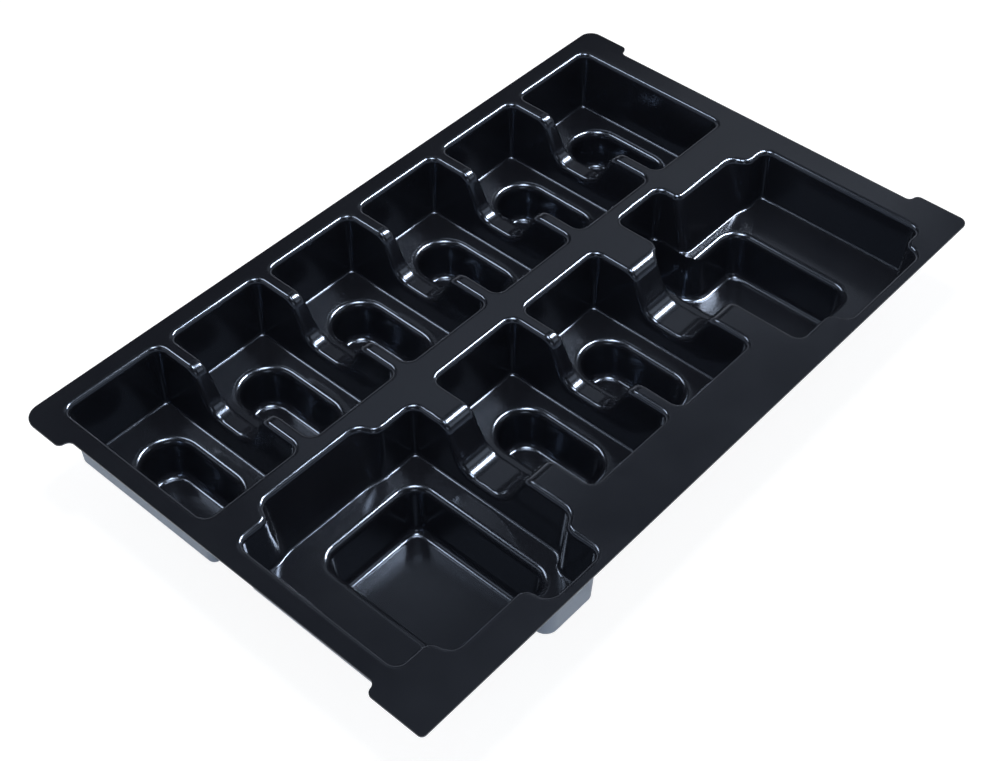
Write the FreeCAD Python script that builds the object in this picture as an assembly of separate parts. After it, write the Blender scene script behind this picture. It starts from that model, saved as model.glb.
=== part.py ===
import FreeCAD, Part
import math
import os

# Thermoformed component tray: one drawn sheet with two rows of nests, trimmed all round.
# Frame: origin on the floor under the middle of the flange, +X along the long side, +Y to the
# back row, +Z up.  Inside this script z = 0 is the flange top and is moved at the very end.

V = FreeCAD.Vector

# --- sheet and draft --------------------------------------------------------------------
SHEET = 1.0                 # thickness of the drawn sheet
DRAFT = 3.5                 # degrees, steep walls
WELL_DRAFT = 6.0            # degrees, walls of the wells below the ledges
BAY_SLOPE = 18.5            # degrees, sloped walls of the shallow bays
RIM_R = 3.5                 # rounding where a wall meets the flange, on the upper face
LEDGE_R = 2.0               # rounding at the foot of a wall, on the ledge
WELL_RIM_R = 5.0            # rounding where a ledge drops into a well
WELL_FLOOR_R = 5.0          # rounding at the foot of a well's wall

# --- flange -----------------------------------------------------------------------------
FLANGE_L = 480.0            # trimmed length between the corner tabs
FLANGE_W = 308.0            # trimmed width
TAB_REACH = 7.0             # how far a corner tab stands out past the short sides
TAB_FRONT_W = 38.0          # width of the front tabs along the short side
TAB_BACK_W = 34.0           # width of the back tabs
TAB_JOG = 8.0               # length of the smooth step from tab to short side
FRONT_LEFT_R = 3.0          # outer corners of the tabs, each trimmed by hand-set tooling
FRONT_RIGHT_R = 6.0
BACK_RIGHT_R = 9.0
BACK_LEFT_R = 11.0

# --- small nests ------------------------------------------------------------------------
NEST_L = 117.5              # length across the tray, at the flange
NEST_W = 67.0               # width along the tray, at the flange
NEST_R = 6.0                # plan corner radius at the flange
NEST_PITCH = 76.8           # spacing along a row
ROW_PITCH = 137.3           # from the front row to the back row
BACK_COUNT = 6
FRONT_FIRST = 2             # the front row's small nests take these places of the pitch
FRONT_COUNT = 2
NEST_LEFT = 12.5            # flange edge to the first nest
NEST_FRONT = 39.2           # flange edge to the front row
NEST_DEPTH = 43.0           # flange to ledge
SLOT_L = 68.7               # round-ended well in each small nest, at the ledge
SLOT_W = 33.8
SLOT_FLAT = 0.5             # straight bit left in each round end
TRAY_DEPTH = 70.0           # flange to the floor of every well, inside

# --- finger notches in the dividers -------------------------------------------------------
NOTCH_DEPTH = 28.0
NOTCH_FLOOR = 30.0          # length of the notch floor, to its sharp corners
NOTCH_TOP = 57.0            # length at the flange, to its sharp corners
NOTCH_CREST_R = 10.0        # rounding where a ramp leaves the flange
NOTCH_FOOT_R = 14.0         # rounding where a ramp meets the notch floor
NOTCH_REACH = 16.0          # how far a notch runs into the nests beside it

# --- large nests --------------------------------------------------------------------------
LARGE_DEPTH = 37.0          # flange to ledge
LARGE_R = 6.0               # plan corners
STEP_RUN = 16.0             # length along the wall of a smooth step out to a bay

# large left nest: walls at the flange, and the steps of its outline
LEFT_X0 = 13.5
LEFT_X1 = 144.3
LEFT_Y0 = 22.8              # middle stretch of the front wall
LEFT_Y1 = 151.7             # back wall beside the bay
LEFT_CORNER_STEP = 14.1     # the front-left corner stands this far back
LEFT_STEP_X = 37.5          # middle of the front-left and the back-left step
LEFT_BAY_X0 = 92.9          # middle of the step into the front bay
LEFT_FRONT_BAY = 15.5       # the front bay reaches this far past the front wall
LEFT_SIDE_STEP = 10.4       # the front bay's right wall stands this far in
LEFT_SIDE_Y = 33.9          # middle of the step beside it
LEFT_BACK_BAY = 12.0
LEFT_BACK_X1 = 113.3        # middle of the back bay's right step
LEFT_WELL_X0 = 52.3
LEFT_WELL_X1 = 125.1
LEFT_WELL_Y0 = 32.9
LEFT_WELL_Y1 = 133.9
LEFT_WELL_R = 11.0

# large right nest
RIGHT_X0 = 331.7
RIGHT_X1 = 460.1
RIGHT_Y0 = 19.5
RIGHT_Y1 = 136.1            # back wall right of the bay
RIGHT_FRONT_BAY = 13.0
RIGHT_BAY_X0 = 363.0        # middles of the front bay's steps
RIGHT_BAY_X1 = 442.0
RIGHT_BACK_BAY = 12.4
RIGHT_BACK_X1 = 440.0       # middle of the back bay's right step
RIGHT_ARM = 28.5            # the back-left arm reaches this far past the back wall
RIGHT_ARM_IN = 10.0         # its left wall stands this far in
RIGHT_ARM_X1 = 383.5        # middle of its right wall's step
RIGHT_ARM_Y = 130.0         # middle of its left wall's step
ARM_DRAFT = 8.5             # degrees, the arm's right wall
ARM_LIP = 0.6               # what is left of the ledge round the deep part of the arm
ARM_OVERLAP = 20.0          # how far the arm's deep part runs into the well
ARM_CORNER_R = 9.0          # inner corner where the arm's wall turns into the well's back wall
RIGHT_WELL_X0 = 346.9
RIGHT_WELL_X1 = 418.7
RIGHT_WELL_Y0 = 37.3
RIGHT_WELL_Y1 = 127.1
RIGHT_WELL_R = 12.0

CLEAR = 2.0                 # how far cutting bodies run past the faces they open
TINY = 1e-4                 # two lengths closer than this are the same


def tan(degrees):
    return math.tan(math.radians(degrees))


def outline_edges(ring, z, grow):
    """Edges of a closed outline in the plane z, moved outwards by grow.

    The ring runs anticlockwise along walls parallel to X or Y.  A corner is (x, y, radius).
    A step to a parallel wall is (x0, y0, x1, y1), drawn as two equal arcs, tangent to both walls.
    """
    count = len(ring)
    pieces = []
    for i in range(count):
        item = ring[i]
        before = ring[i - 1]
        tail = before[-2:] if len(before) == 4 else before[:2]
        head = ring[(i + 1) % count][:2]
        along = unit(tail, item[:2])
        outward = V(along.y, -along.x, 0)
        if len(item) == 3:
            pieces.append(corner_arc(item, along, unit(item[:2], head), outward, z, grow))
        else:
            pieces.append(step_arcs(item, along, outward, z, grow))
    edges = []
    for i in range(count):
        for arc in pieces[i]:
            edges.append(Part.Arc(*arc).toShape())
        start = pieces[i][-1][2]
        stop = pieces[(i + 1) % count][0][0]
        edges.append(Part.LineSegment(start, stop).toShape())
    return edges


def unit(start, stop):
    """Direction from one (x, y) to another, rounded to the axis it follows."""
    direction = V(stop[0] - start[0], stop[1] - start[1], 0)
    if abs(direction.x) > abs(direction.y):
        return V(math.copysign(1, direction.x), 0, 0)
    return V(0, math.copysign(1, direction.y), 0)


def corner_arc(item, along, onward, outward, z, grow):
    """Quarter arc in a corner: left turns are nest corners, right turns are outer ones."""
    x, y, radius = item
    left_turn = along.cross(onward).z > 0
    out_next = V(onward.y, -onward.x, 0)
    corner = V(x, y, z) + (outward + out_next) * grow
    r = radius + grow if left_turn else radius - grow
    start = corner - along * r
    stop = corner + onward * r
    middle = corner + (onward - along) * (r * (1 - math.sqrt(0.5)))
    return [(start, middle, stop)]


def step_arcs(item, along, outward, z, grow):
    """Two equal arcs between parallel walls; growing keeps the wall between them its thickness."""
    x0, y0, x1, y1 = item
    start = V(x0, y0, z)
    stop = V(x1, y1, z)
    run = (stop - start).dot(along)
    rise = (stop - start).dot(outward)
    half_turn = math.atan2(rise, run)
    shift = outward * grow - along * (grow * math.tan(half_turn))
    start = start + shift
    stop = stop + shift
    centre = (start + stop) / 2
    chord = centre - start
    sag = chord.Length / 2 * math.tan(half_turn / 2)
    across = V(chord.y, -chord.x, 0).normalize()
    first = start + chord / 2 - across * sag
    second = centre + chord / 2 + across * sag
    return [(start, first, centre), (centre, second, stop)]


def outline_wire(ring, z, grow=0.0):
    return Part.Wire(outline_edges(ring, z, grow))


def tapered(outline, top, bottom, grow):
    """Ruled solid between outline(depth) at two depths below the flange, grown sideways."""
    upper = outline_wire(outline(top), -top, grow)
    lower = outline_wire(outline(bottom), -bottom, grow)
    return Part.makeLoft([upper, lower], True, True)


def rectangle(x0, x1, y0, y1, radius, inset):
    """Ring of a rounded rectangle, its sides moved in by inset."""
    r = radius - inset
    return [
        (x0 + inset, y0 + inset, r),
        (x1 - inset, y0 + inset, r),
        (x1 - inset, y1 - inset, r),
        (x0 + inset, y1 - inset, r),
    ]


def edges_at(shape, z):
    """The edges that lie in the plane z."""
    found = []
    for edge in shape.Edges:
        box = edge.BoundBox
        if abs(box.ZMin - z) < TINY and abs(box.ZMax - z) < TINY:
            found.append(edge)
    return found


def rim_edges(shape, z, ring):
    """The edges in the plane z that lie within a ring's bounds."""
    xs = [item[0] for item in ring]
    ys = [item[1] for item in ring]
    found = []
    for edge in edges_at(shape, z):
        centre = edge.BoundBox.Center
        slack = 2 * SHEET
        if min(xs) - slack < centre.x < max(xs) + slack:
            if min(ys) - slack < centre.y < max(ys) + slack:
                found.append(edge)
    return found


def cavity(nest, nest_depth, well, grow):
    """One nest with its well as a solid; grow > 0 gives the same on the sheet's lower face."""
    floor = nest_depth + grow
    bottom = TRAY_DEPTH + grow
    body = tapered(nest, -CLEAR, floor, grow)
    body = body.makeFillet(LEDGE_R + grow, edges_at(body, -floor))
    drop = tapered(well, nest_depth - CLEAR, bottom, grow)
    drop = drop.makeFillet(WELL_FLOOR_R + grow, edges_at(drop, -bottom))
    body = body.fuse(drop).removeSplitter()
    return body.makeFillet(WELL_RIM_R - grow, rim_edges(body, -floor, well(nest_depth)))


def small_nest(column, row):
    """Outline functions of one small nest and its slot."""
    x0 = NEST_LEFT + column * NEST_PITCH
    y0 = NEST_FRONT + row * ROW_PITCH
    x_mid = x0 + NEST_W / 2
    y_mid = y0 + NEST_L / 2

    def nest(depth):
        return rectangle(x0, x0 + NEST_W, y0, y0 + NEST_L, NEST_R, depth * tan(DRAFT))

    def slot(depth):
        inset = (depth - NEST_DEPTH) * tan(WELL_DRAFT)
        half = SLOT_W / 2
        end = SLOT_L / 2
        radius = half - SLOT_FLAT / 2
        return rectangle(x_mid - half, x_mid + half, y_mid - end, y_mid + end, radius, inset)

    return nest, slot


def step_x(x, y0, y1, direction):
    """Step between walls along X: middle x, from y0 to y1, walked in the given direction."""
    half = direction * STEP_RUN / 2
    return (x - half, y0, x + half, y1)


def step_y(y, x0, x1, direction):
    """Step between walls along Y: middle y, from x0 to x1, walked in the given direction."""
    half = direction * STEP_RUN / 2
    return (x0, y - half, x1, y + half)


def left_nest(depth):
    """Outline of the large left nest: bays at the back and at the front right."""
    steep = depth * tan(DRAFT)
    slope = depth * tan(BAY_SLOPE)
    corner = LARGE_R - steep
    left = LEFT_X0 + steep
    right = LEFT_X1 - steep
    back = LEFT_Y1 - steep
    bay_back = LEFT_Y1 + LEFT_BACK_BAY - slope
    front = LEFT_Y0 + steep
    corner_front = front + LEFT_CORNER_STEP
    bay_front = front - LEFT_FRONT_BAY
    bay_right = right - LEFT_SIDE_STEP
    return [
        (left, corner_front, corner),
        step_x(LEFT_STEP_X + steep, corner_front, front, 1),
        step_x(LEFT_BAY_X0 + steep, front, bay_front, 1),
        (bay_right, bay_front, corner),
        step_y(LEFT_SIDE_Y + steep, bay_right, right, 1),
        (right, back, corner),
        step_x(LEFT_BACK_X1 - steep, back, bay_back, -1),
        step_x(LEFT_STEP_X + steep, bay_back, back, -1),
        (left, back, corner),
    ]


def left_well(depth):
    """Outline of the large left nest's well."""
    inset = (depth - LARGE_DEPTH) * tan(WELL_DRAFT)
    return rectangle(LEFT_WELL_X0, LEFT_WELL_X1, LEFT_WELL_Y0, LEFT_WELL_Y1, LEFT_WELL_R, inset)


def right_nest(depth):
    """Outline of the large right nest: bays at the front and at the back, and a back-left arm."""
    steep = depth * tan(DRAFT)
    slope = depth * tan(BAY_SLOPE)
    corner = LARGE_R - steep
    left = RIGHT_X0 + steep
    right = RIGHT_X1 - steep
    front = RIGHT_Y0 + steep
    bay_front = RIGHT_Y0 - RIGHT_FRONT_BAY + slope
    back = RIGHT_Y1 - steep
    bay_back = RIGHT_Y1 + RIGHT_BACK_BAY - slope
    arm_back = RIGHT_Y1 + RIGHT_ARM - steep
    arm_left = left + RIGHT_ARM_IN
    arm_right = RIGHT_ARM_X1 - depth * tan(ARM_DRAFT)
    return [
        (left, front, corner),
        step_x(RIGHT_BAY_X0 + steep, front, bay_front, 1),
        step_x(RIGHT_BAY_X1 - steep, bay_front, front, 1),
        (right, front, corner),
        (right, back, corner),
        step_x(RIGHT_BACK_X1 - steep, back, bay_back, -1),
        (arm_right, bay_back, LARGE_R),
        (arm_right, arm_back, corner),
        (arm_left, arm_back, corner),
        step_y(RIGHT_ARM_Y, arm_left, left, -1),
    ]


def right_well(depth):
    """Outline of the large right nest's well."""
    inset = (depth - LARGE_DEPTH) * tan(WELL_DRAFT)
    return rectangle(RIGHT_WELL_X0, RIGHT_WELL_X1, RIGHT_WELL_Y0, RIGHT_WELL_Y1, RIGHT_WELL_R, inset)


def right_arm(depth):
    """Outline of the deep arm under the large right nest, with the corner it turns round."""
    inset = (depth - LARGE_DEPTH) * tan(WELL_DRAFT)
    steep = LARGE_DEPTH * tan(DRAFT)
    left = RIGHT_X0 + RIGHT_ARM_IN + steep + ARM_LIP + inset
    right = RIGHT_ARM_X1 - LARGE_DEPTH * tan(ARM_DRAFT) - ARM_LIP - inset
    back = RIGHT_Y1 + RIGHT_ARM - steep - ARM_LIP - inset
    well_back = RIGHT_WELL_Y1 - inset
    well_front = RIGHT_WELL_Y1 - ARM_OVERLAP
    well_right = right + ARM_OVERLAP
    corner = LARGE_R - ARM_LIP - inset
    return [
        (left, well_front, corner),
        (well_right, well_front, corner),
        (well_right, well_back, corner),
        (right, well_back, ARM_CORNER_R + inset),
        (right, back, corner),
        (left, back, corner),
    ]


def ridges(prism, y, z):
    """The edges along X that lie at height z and at y or -y."""
    found = []
    for edge in prism.Edges:
        centre = edge.BoundBox.Center
        if edge.BoundBox.XLength > TINY and abs(abs(centre.y) - y) < TINY and abs(centre.z - z) < TINY:
            found.append(edge)
    return found


def notch(x0, x1, y_mid, grow):
    """Prism that lowers a divider between two nests, with rounded crests and feet."""
    angle = math.atan2(NOTCH_DEPTH, (NOTCH_TOP - NOTCH_FLOOR) / 2)
    shift = grow * math.tan(angle / 2)
    foot = NOTCH_FLOOR / 2 + shift
    crest = NOTCH_TOP / 2 + shift
    low = -NOTCH_DEPTH - grow
    high = -grow
    far = crest + NOTCH_CREST_R
    profile = [(far, CLEAR), (far, high), (crest, high), (foot, low)]
    profile += [(-y, z) for y, z in reversed(profile)]
    points = [V(x0, y, z) for y, z in profile]
    prism = Part.Face(Part.makePolygon(points + points[:1])).extrude(V(x1 - x0, 0, 0))
    prism = prism.makeFillet(NOTCH_FOOT_R + grow, ridges(prism, foot, low))
    prism = prism.makeFillet(NOTCH_CREST_R - grow, ridges(prism, crest, high))
    prism.translate(V(0, y_mid, 0))
    return prism


def flange_outline():
    """Trimmed outline of the flange with its four corner tabs."""
    half = TAB_JOG / 2
    out_l = -TAB_REACH
    out_r = FLANGE_L + TAB_REACH
    front = TAB_FRONT_W
    back = FLANGE_W - TAB_BACK_W
    return [
        (out_l, 0, FRONT_LEFT_R),
        (out_r, 0, FRONT_RIGHT_R),
        (out_r, front - half, FLANGE_L, front + half),
        (FLANGE_L, back - half, out_r, back + half),
        (out_r, FLANGE_W, BACK_RIGHT_R),
        (out_l, FLANGE_W, BACK_LEFT_R),
        (out_l, back + half, 0, back - half),
        (0, front + half, out_l, front - half),
    ]


def notches(grow):
    """All the finger notches: between the back row's nests and along the front row."""
    cutters = []
    for row, first, count in ((1, 0, BACK_COUNT), (0, FRONT_FIRST, FRONT_COUNT)):
        y_mid = NEST_FRONT + row * ROW_PITCH + NEST_L / 2
        for column in range(first, first + count - 1):
            x0 = NEST_LEFT + column * NEST_PITCH + NEST_W
            x1 = x0 + NEST_PITCH - NEST_W
            cutters.append(notch(x0 - NOTCH_REACH, x1 + NOTCH_REACH, y_mid, grow))
    y_mid = NEST_FRONT + NEST_L / 2
    first_x = NEST_LEFT + FRONT_FIRST * NEST_PITCH
    last_x = NEST_LEFT + (FRONT_FIRST + FRONT_COUNT - 1) * NEST_PITCH + NEST_W
    cutters.append(notch(LEFT_X1 - NOTCH_REACH, first_x + NOTCH_REACH, y_mid, grow))
    cutters.append(notch(last_x - NOTCH_REACH, RIGHT_X0 + NOTCH_REACH, y_mid, grow))
    return cutters


def flange_block(grow):
    """Block below the flange; the lower face's block is larger, so that the sheet keeps its edge."""
    if grow > 0:
        margin = TAB_REACH + CLEAR
        height = TRAY_DEPTH + CLEAR + CLEAR
        block = Part.makeBox(FLANGE_L + 2 * margin, FLANGE_W + 2 * margin, height)
        block.translate(V(-margin, -margin, -grow - height))
        return block
    face = Part.Face(outline_wire(flange_outline(), 0))
    return face.extrude(V(0, 0, -TRAY_DEPTH - CLEAR))


def flange_rims(block, grow):
    """The edges round all nests at the flange, without the flange's own outline."""
    rims = []
    for edge in edges_at(block, -grow):
        box = edge.BoundBox
        if box.XMin > CLEAR and box.XMax < FLANGE_L - CLEAR:
            if box.YMin > CLEAR and box.YMax < FLANGE_W - CLEAR:
                rims.append(edge)
    return rims


def lower_block(grow):
    """Everything under one face of the sheet: under the upper face, or the lower one if grow > 0."""
    cutters = notches(grow)
    for row, first, count in ((1, 0, BACK_COUNT), (0, FRONT_FIRST, FRONT_COUNT)):
        for column in range(first, first + count):
            nest, slot = small_nest(column, row)
            cutters.append(cavity(nest, NEST_DEPTH, slot, grow))
    cutters.append(cavity(left_nest, LARGE_DEPTH, left_well, grow))
    right = cavity(right_nest, LARGE_DEPTH, right_well, grow)
    arm = tapered(right_arm, LARGE_DEPTH - CLEAR, TRAY_DEPTH + grow, grow)
    arm = arm.makeFillet(WELL_FLOOR_R + grow, edges_at(arm, -TRAY_DEPTH - grow))
    cutters.append(right.fuse(arm).removeSplitter())
    block = flange_block(grow).cut(cutters).removeSplitter()
    return block.makeFillet(RIM_R - grow, flange_rims(block, grow))


def main():
    os.makedirs("parts", exist_ok=True)
    upper = lower_block(0.0)
    lower = lower_block(SHEET)
    sheet = upper.cut(lower)
    sheet.translate(V(-FLANGE_L / 2, -FLANGE_W / 2, TRAY_DEPTH + SHEET))
    sheet.exportStep("parts/tray.step")


main()
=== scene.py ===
import math

import bpy
from mathutils import Euler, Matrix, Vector

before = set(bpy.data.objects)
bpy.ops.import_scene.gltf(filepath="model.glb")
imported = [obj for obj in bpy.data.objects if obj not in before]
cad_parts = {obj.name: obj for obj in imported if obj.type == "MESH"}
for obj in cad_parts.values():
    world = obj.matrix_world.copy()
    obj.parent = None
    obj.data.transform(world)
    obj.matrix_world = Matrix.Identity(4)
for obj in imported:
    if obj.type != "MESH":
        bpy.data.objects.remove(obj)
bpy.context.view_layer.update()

# ---------------------------------------------------------------- plastic
PLASTIC_BLACK = (0.0095, 0.0104, 0.0142, 1.0)
PLASTIC_HAZE = (0.0120, 0.0130, 0.0170, 1.0)
PLASTIC_TINT = (0.62, 0.76, 1.0, 1.0)
PLASTIC_IOR = 1.57
# pale colour of the outside faces: a painted reflection of the white floor on the outer walls
OUTSIDE_PAINTED_SHEEN = (0.24, 0.29, 0.36, 1.0)
OUTSIDE_ROUGH = 0.48
ROUGH_LOW, ROUGH_HIGH = 0.16, 0.18
HAZE_SCALE, HAZE_DETAIL, HAZE_BREAKUP = 21.0, 4.0, 0.55
HAZE_START, HAZE_FULL = 0.42, 0.72         # noise values between which the haze comes in
GLOSS_START, GLOSS_FULL = 0.3, 0.7         # noise values between which the gloss drops
WAVE_SCALE, WAVE_DETAIL = 34.0, 1.0
WAVE_HEIGHT = 0.00003                      # metres
GRAIN_SCALE, GRAIN_DETAIL = 420.0, 2.0
GRAIN_HEIGHT = 0.000010                    # metres
LEAN_START, LEAN_FULL = -0.010, -0.045     # normal's Z where a face turns into an outside one

# ---------------------------------------------------------------- studio
FLOOR_SIZE = 40.0                          # metres
FLOOR_COLOUR = (0.86, 0.87, 0.88, 1.0)
FLOOR_MATT = 0.34                          # share of the floor that takes the shadow
FLOOR_GLOW = 0.90
HORIZON_LEVEL = 1.0
CEILING_LEVEL = 0.02
RAMP_START, RAMP_END = 0.04, 0.42          # height in the sky, nought to one
FILL_LEVEL = 0.34                          # what matt surfaces get from the sky
STUDIO_TINT = (0.93, 0.97, 1.05, 1.0)
LAMP_HEIGHT = 1.6                          # metres

# the one lamp that matt surfaces see too: two opposite corners in metres, and the level
OVERHEAD_LAMP = ((-0.30, -0.22), (-0.05, 0.03), 48.0)

# flat lamps that only gloss sees, written the same way. The spot and the two strips are the
# bright ones, each with a wider, dimmer panel round it. Only panel_far and panel_corner stand
# where the flat flange mirrors them to the camera.
GLOSS_LAMPS = {
    "spot_over": ((-0.36, -0.28), (0.00, 0.08), 50.0),
    "strip_right": ((0.60, -0.42), (2.10, -0.14), 130.0),
    "strip_back": ((-0.50, 0.70), (-0.16, 1.80), 17.0),
    "panel_right": ((0.55, -0.48), (2.10, -0.09), 9.0),
    "panel_back": ((-0.56, 0.62), (-0.08, 1.80), 4.0),
    "panel_over": ((-0.52, -0.44), (0.05, 0.12), 9.0),
    "panel_front": ((0.45, -2.20), (2.10, -1.15), 1.5),
    "panel_left": ((-2.20, 0.45), (-1.30, 1.90), 1.5),
    "panel_near": ((-2.20, -2.20), (-1.20, -1.20), 3.0),
    "panel_far": ((0.60, 0.72), (2.20, 1.28), 0.44),
    "panel_corner": ((1.45, 0.66), (2.30, 0.86), 1.0),
}

# ---------------------------------------------------------------- camera
CAMERA_PLACE = Vector((-0.5507, -0.4779, 0.7839))
CAMERA_TURN = tuple(math.radians(a) for a in (45.402, -0.315, -48.615))
CAMERA_SENSOR = 36.0
CAMERA_LENS = 62.24
CAMERA_SHIFT = (-0.02, -0.06)
CAMERA_NEAR, CAMERA_FAR = 0.01, 100.0      # metres


class Nodes:
    """A small helper that adds nodes to one tree and joins them."""

    def __init__(self, tree):
        self.tree = tree
        tree.nodes.clear()

    def add(self, kind, **settings):
        node = self.tree.nodes.new(kind)
        for name, value in settings.items():
            setattr(node, name, value)
        return node

    def join(self, source, target):
        self.tree.links.new(source, target)

    def noise(self, coordinates, scale, detail, roughness=0.5):
        node = self.add("ShaderNodeTexNoise")
        node.inputs["Scale"].default_value = scale
        node.inputs["Detail"].default_value = detail
        node.inputs["Roughness"].default_value = roughness
        self.join(coordinates, node.inputs["Vector"])
        return node

    def remap(self, value, low, high, to_low, to_high):
        node = self.add("ShaderNodeMapRange")
        self.join(value, node.inputs["Value"])
        for name, number in (("From Min", low), ("From Max", high),
                             ("To Min", to_low), ("To Max", to_high)):
            node.inputs[name].default_value = number
        return node.outputs["Result"]

    def blend(self, share, first, second):
        """Colour between two, each a colour or a socket."""
        node = self.add("ShaderNodeMix", data_type="RGBA")
        self.join(share, node.inputs["Factor"])
        ends = [socket for socket in node.inputs if socket.type == "RGBA"]
        for socket, value in zip(ends, (first, second)):
            if isinstance(value, tuple):
                socket.default_value = value
            else:
                self.join(value, socket)
        return next(socket for socket in node.outputs if socket.type == "RGBA")

    def bump(self, height, distance):
        node = self.add("ShaderNodeBump")
        node.inputs["Strength"].default_value = 1.0
        node.inputs["Distance"].default_value = distance
        self.join(height, node.inputs["Height"])
        return node

    def seen(self):
        """One for rays of the camera, of gloss and of glass, nought for the rest."""
        rays = self.add("ShaderNodeLightPath").outputs
        seen = self.math("MAXIMUM", rays["Is Camera Ray"], rays["Is Glossy Ray"])
        return self.math("MAXIMUM", seen, rays["Is Transmission Ray"])

    def math(self, operation, first, second):
        node = self.add("ShaderNodeMath", operation=operation)
        for socket, value in zip(node.inputs, (first, second)):
            if isinstance(value, (int, float)):
                socket.default_value = value
            else:
                self.join(value, socket)
        return node.outputs["Value"]


def black_sheet():
    """Glossy black sheet with a matt outside, made paler by a painted reflection of the pale
    floor.
    """
    material = bpy.data.materials.new("black_sheet")
    material.use_nodes = True
    tree = Nodes(material.node_tree)
    place = tree.add("ShaderNodeTexCoord").outputs["Object"]
    haze = tree.noise(place, HAZE_SCALE, HAZE_DETAIL, HAZE_BREAKUP)
    waves = tree.noise(place, WAVE_SCALE, WAVE_DETAIL)
    grain = tree.noise(place, GRAIN_SCALE, GRAIN_DETAIL)

    # drafted walls face a little up inside and a little down outside
    facing = tree.add("ShaderNodeSeparateXYZ")
    geometry = tree.add("ShaderNodeNewGeometry")
    tree.join(geometry.outputs["Normal"], facing.inputs["Vector"])
    outside = tree.remap(facing.outputs["Z"], LEAN_START, LEAN_FULL, 0.0, 1.0)

    shader = tree.add("ShaderNodeBsdfPrincipled")
    shader.inputs["IOR"].default_value = PLASTIC_IOR
    shader.inputs["Specular Tint"].default_value = PLASTIC_TINT
    hazy = tree.remap(haze.outputs["Fac"], HAZE_START, HAZE_FULL, 0.0, 1.0)
    inside_colour = tree.blend(hazy, PLASTIC_BLACK, PLASTIC_HAZE)
    # outside faces take the paler colour, a painted reflection of the floor
    tree.join(tree.blend(outside, inside_colour, OUTSIDE_PAINTED_SHEEN), shader.inputs["Base Color"])
    gloss = tree.remap(haze.outputs["Fac"], GLOSS_START, GLOSS_FULL, ROUGH_LOW, ROUGH_HIGH)
    lift = tree.math("MULTIPLY", tree.math("SUBTRACT", OUTSIDE_ROUGH, gloss), outside)
    tree.join(tree.math("ADD", gloss, lift), shader.inputs["Roughness"])

    slow = tree.bump(waves.outputs["Fac"], WAVE_HEIGHT)
    fine = tree.bump(grain.outputs["Fac"], GRAIN_HEIGHT)
    tree.join(slow.outputs["Normal"], fine.inputs["Normal"])
    tree.join(fine.outputs["Normal"], shader.inputs["Normal"])

    output = tree.add("ShaderNodeOutputMaterial")
    tree.join(shader.outputs["BSDF"], output.inputs["Surface"])
    return material


def pale_floor():
    """A matt pale floor that the camera and reflections see as white, with its shadow kept."""
    material = bpy.data.materials.new("pale_floor")
    material.use_nodes = True
    tree = Nodes(material.node_tree)
    seen = tree.seen()
    matt = tree.add("ShaderNodeBsdfDiffuse")
    matt.inputs["Color"].default_value = FLOOR_COLOUR
    glow = tree.add("ShaderNodeEmission")
    glow.inputs["Strength"].default_value = FLOOR_GLOW / (1 - FLOOR_MATT)
    mix = tree.add("ShaderNodeMixShader")
    tree.join(tree.math("MULTIPLY", seen, 1 - FLOOR_MATT), mix.inputs["Fac"])
    tree.join(matt.outputs["BSDF"], mix.inputs[1])
    tree.join(glow.outputs["Emission"], mix.inputs[2])
    output = tree.add("ShaderNodeOutputMaterial")
    tree.join(mix.outputs["Shader"], output.inputs["Surface"])
    return material


def floor():
    mesh = bpy.data.meshes.new("floor")
    half = FLOOR_SIZE / 2
    corners = [(-half, -half, 0), (half, -half, 0), (half, half, 0), (-half, half, 0)]
    mesh.from_pydata(corners, [], [(0, 1, 2, 3)])
    piece = bpy.data.objects.new("floor", mesh)
    bpy.context.scene.collection.objects.link(piece)
    mesh.materials.append(pale_floor())


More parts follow.
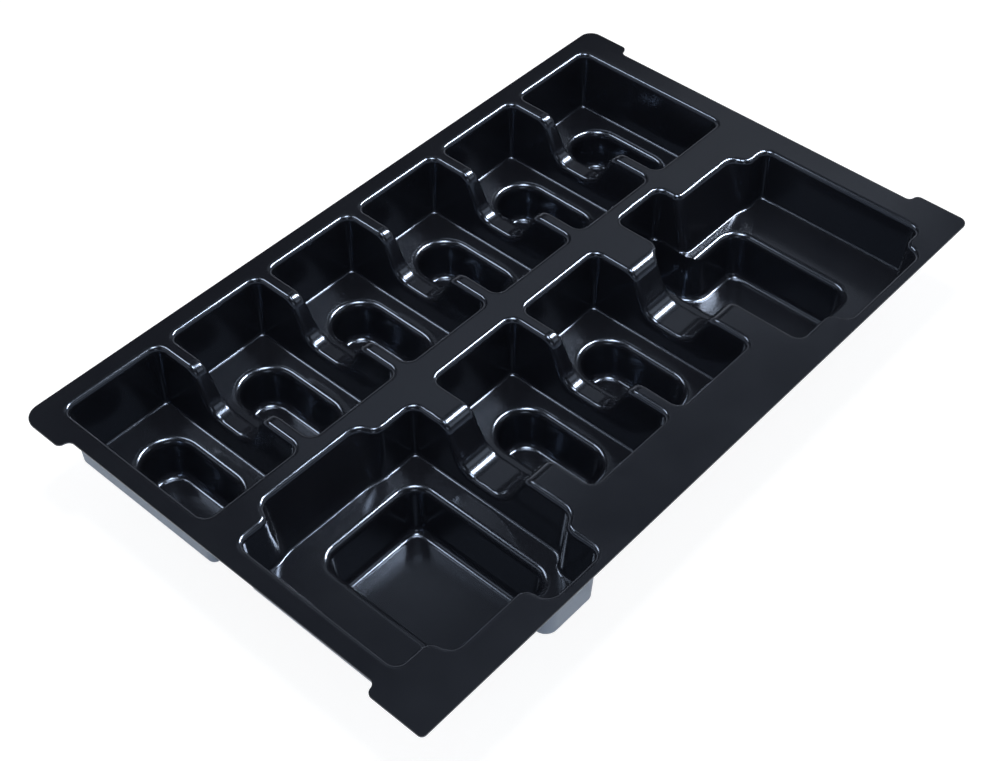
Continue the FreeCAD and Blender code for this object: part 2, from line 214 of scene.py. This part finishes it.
def studio_world():
    """White at the horizon, darker overhead, and one even level for matt surfaces."""
    world = bpy.data.worlds.new("studio")
    bpy.context.scene.world = world
    world.use_nodes = True
    tree = Nodes(world.node_tree)
    split = tree.add("ShaderNodeSeparateXYZ")
    tree.join(tree.add("ShaderNodeTexCoord").outputs["Generated"], split.inputs["Vector"])
    ceiling = tree.remap(split.outputs["Z"], RAMP_START, RAMP_END, HORIZON_LEVEL, CEILING_LEVEL)
    level = tree.add("ShaderNodeMix", data_type="FLOAT")
    tree.join(tree.seen(), level.inputs["Factor"])
    level.inputs["A"].default_value = FILL_LEVEL
    tree.join(ceiling, level.inputs["B"])
    back = tree.add("ShaderNodeBackground")
    back.inputs["Color"].default_value = STUDIO_TINT
    tree.join(level.outputs["Result"], back.inputs["Strength"])
    output = tree.add("ShaderNodeOutputWorld")
    tree.join(back.outputs["Background"], output.inputs["Surface"])


def softbox(name, corner, far_corner, level, gloss_only=False):
    """A flat lamp at lamp height that faces down, between two opposite corners."""
    lamp = bpy.data.lights.new(name, "AREA")
    lamp.shape = "RECTANGLE"
    lamp.size = far_corner[0] - corner[0]
    lamp.size_y = far_corner[1] - corner[1]
    lamp.energy = math.pi * lamp.size * lamp.size_y * level
    holder = bpy.data.objects.new(name, lamp)
    holder.location = (corner[0] + lamp.size / 2, corner[1] + lamp.size_y / 2, LAMP_HEIGHT)
    holder.visible_diffuse = not gloss_only
    bpy.context.scene.collection.objects.link(holder)


def camera():
    view = bpy.data.cameras.new("view")
    view.sensor_width = CAMERA_SENSOR
    view.lens = CAMERA_LENS
    view.shift_x, view.shift_y = CAMERA_SHIFT
    view.clip_start, view.clip_end = CAMERA_NEAR, CAMERA_FAR
    holder = bpy.data.objects.new("view", view)
    holder.location = CAMERA_PLACE
    holder.rotation_euler = Euler(CAMERA_TURN, "XYZ")
    bpy.context.scene.collection.objects.link(holder)
    bpy.context.scene.camera = holder


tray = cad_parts["tray"]
tray.data.materials.clear()
tray.data.materials.append(black_sheet())

camera()
floor()
studio_world()
softbox("overhead", *OVERHEAD_LAMP)
for lamp_name, (near, far, lamp_level) in GLOSS_LAMPS.items():
    softbox(lamp_name, near, far, lamp_level, gloss_only=True)
bpy.context.scene.view_settings.view_transform = "Standard"
